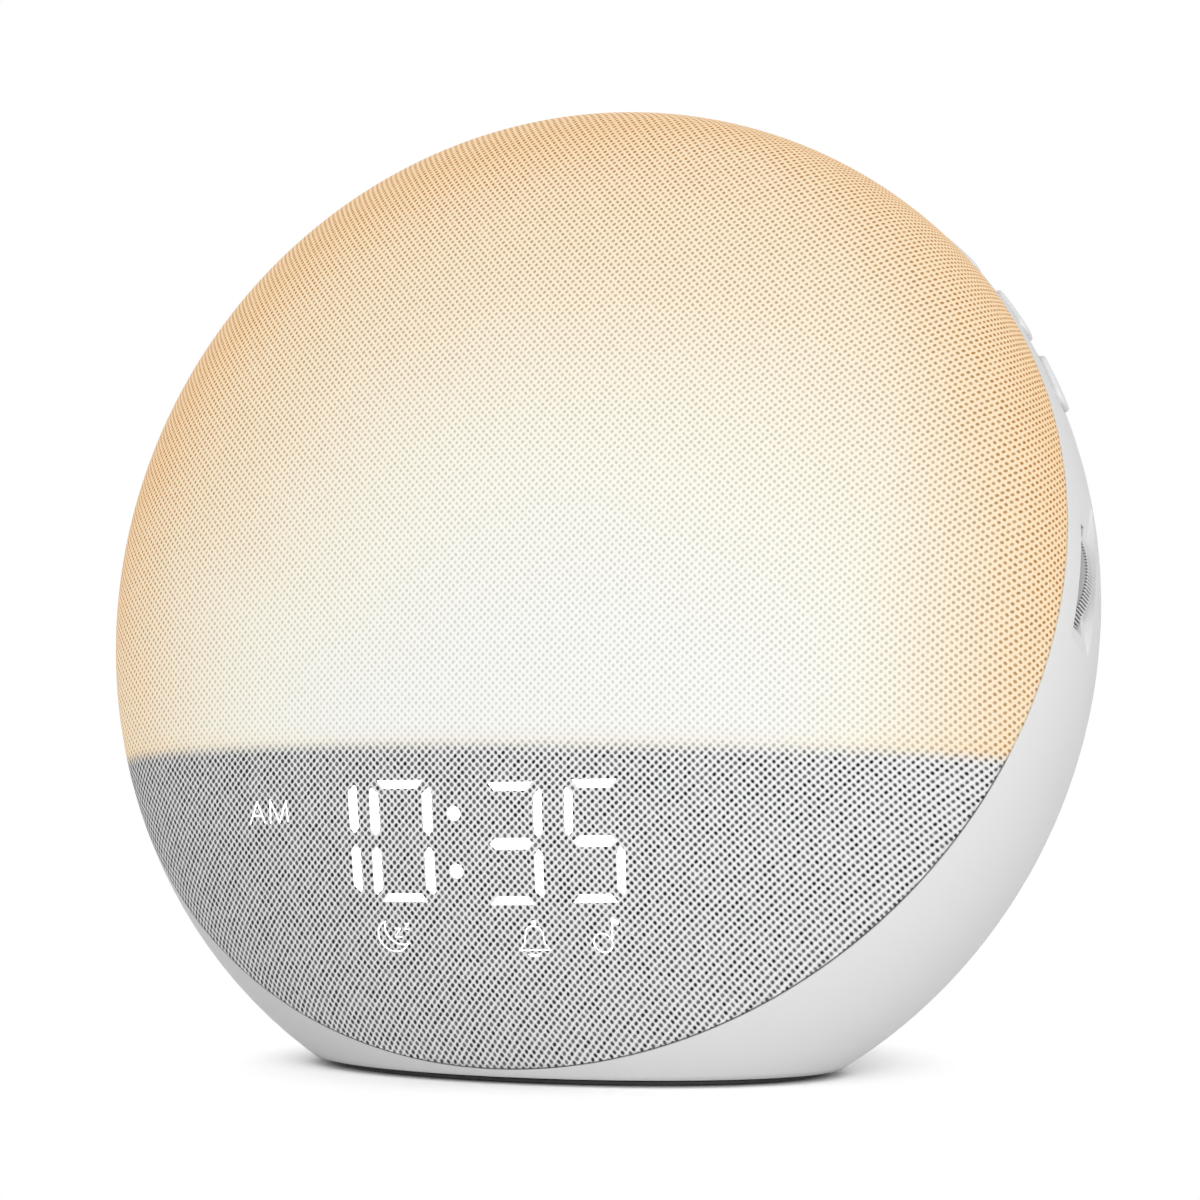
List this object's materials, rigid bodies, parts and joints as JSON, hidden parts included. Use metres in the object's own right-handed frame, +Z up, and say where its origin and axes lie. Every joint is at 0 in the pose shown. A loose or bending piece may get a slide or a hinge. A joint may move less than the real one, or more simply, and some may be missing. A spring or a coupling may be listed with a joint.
{
  "type": "sunrise alarm clock",
  "caption": "Round bedside alarm clock with a cloth-covered front that lights up like a sunrise above a digital display, push buttons on top and a thumbwheel on its side",
  "frame": {"origin": "centre of the bounding box's underside, on the table", "axes": "+X to the right of someone facing the display, -Y out of the front, +Z up"},
  "size_m": [0.1699, 0.1126, 0.1564],
  "materials": {
    "shell_plastic": "satin moulded",
    "cap_plastic": "satin moulded",
    "wheel_plastic": "satin moulded, knurled edge",
    "cloth": "open weave, stretched",
    "diffuser_plastic": "translucent, lit from behind",
    "white_plastic": "moulded",
    "dark_plastic": "moulded",
    "guide_plastic": "polished light guide",
    "foot_rubber": "soft, matte",
    "screw_steel": "zinc plated",
    "board_green": "solder mask",
    "board_white": "white solder mask",
    "chip_black": "moulded package",
    "warm_led": "phosphor coated",
    "cool_led": "phosphor coated",
    "cable_film": "flexible film",
    "socket_steel": "drawn shell",
    "cell_steel": "stamped can",
    "basket_steel": "black coated",
    "magnet_iron": "ferrite with steel plates",
    "cone_paper": "pressed cone",
    "gasket_foam": "closed-cell foam",
    "spindle_steel": "turned"
  },
  "bodies": {
    "body": {"rear_shell": "shell_plastic", "base_plate": "dark_plastic", "rubber_foot": "foot_rubber", "base_screws": "screw_steel", "shell_screws": "screw_steel", "mid_frame": "dark_plastic", "fabric_cover": "cloth", "light_diffuser": "diffuser_plastic", "front_baffle": "dark_plastic", "light_shelf": "white_plastic", "reflector": "white_plastic", "light_board": "board_white", "warm_leds": "warm_led", "cool_leds": "cool_led", "display_case": "dark_plastic", "display_guides": "guide_plastic", "display_board": "board_green", "display_cable": "cable_film", "main_board": "board_green", "main_board_chips": "chip_black", "board_screws": "screw_steel", "cell_holder": "dark_plastic", "coin_cell": "cell_steel", "power_socket": "socket_steel", "socket_board": "board_green", "speaker_basket": "basket_steel", "speaker_cone": "cone_paper", "speaker_magnet": "magnet_iron", "speaker_gasket": "gasket_foam", "speaker_screws": "screw_steel", "button_carrier": "white_plastic", "button_circuit": "cable_film", "button_switches": "chip_black", "dial_encoder": "dark_plastic", "encoder_bracket": "dark_plastic"},
    "button_upper": {"button_upper": "cap_plastic"},
    "button_middle": {"button_middle": "cap_plastic"},
    "button_lower": {"button_lower": "cap_plastic"},
    "snooze_button": {"snooze_button": "cap_plastic"},
    "dial": {"dial_wheel": "wheel_plastic", "dial_shaft": "spindle_steel"}
  },
  "joints": [
    {"name": "button_upper_press", "type": "slide", "parent": "body", "child": "button_upper", "axis": [-0.625, -0.4441, -0.642], "range_m": [0, 0.0007], "stiffness_N_per_m": 600, "springref_m": -0.0008},
    {"name": "button_middle_press", "type": "slide", "parent": "body", "child": "button_middle", "axis": [-0.7544, -0.3698, -0.5424], "range_m": [0, 0.0007], "stiffness_N_per_m": 600, "springref_m": -0.0008},
    {"name": "button_lower_press", "type": "slide", "parent": "body", "child": "button_lower", "axis": [-0.8608, -0.2816, -0.424], "range_m": [0, 0.0007], "stiffness_N_per_m": 600, "springref_m": -0.0008},
    {"name": "snooze_button_press", "type": "slide", "parent": "body", "child": "snooze_button", "axis": [0, -0.5754, -0.8179], "range_m": [0, 0.0007], "stiffness_N_per_m": 600, "springref_m": -0.0008},
    {"name": "dial_spin", "type": "hinge", "parent": "body", "child": "dial", "pos_m": [0.0711, 0.00159, 0.07864], "axis": [0, -0.9255, 0.3786], "continuous": true}
  ]
}
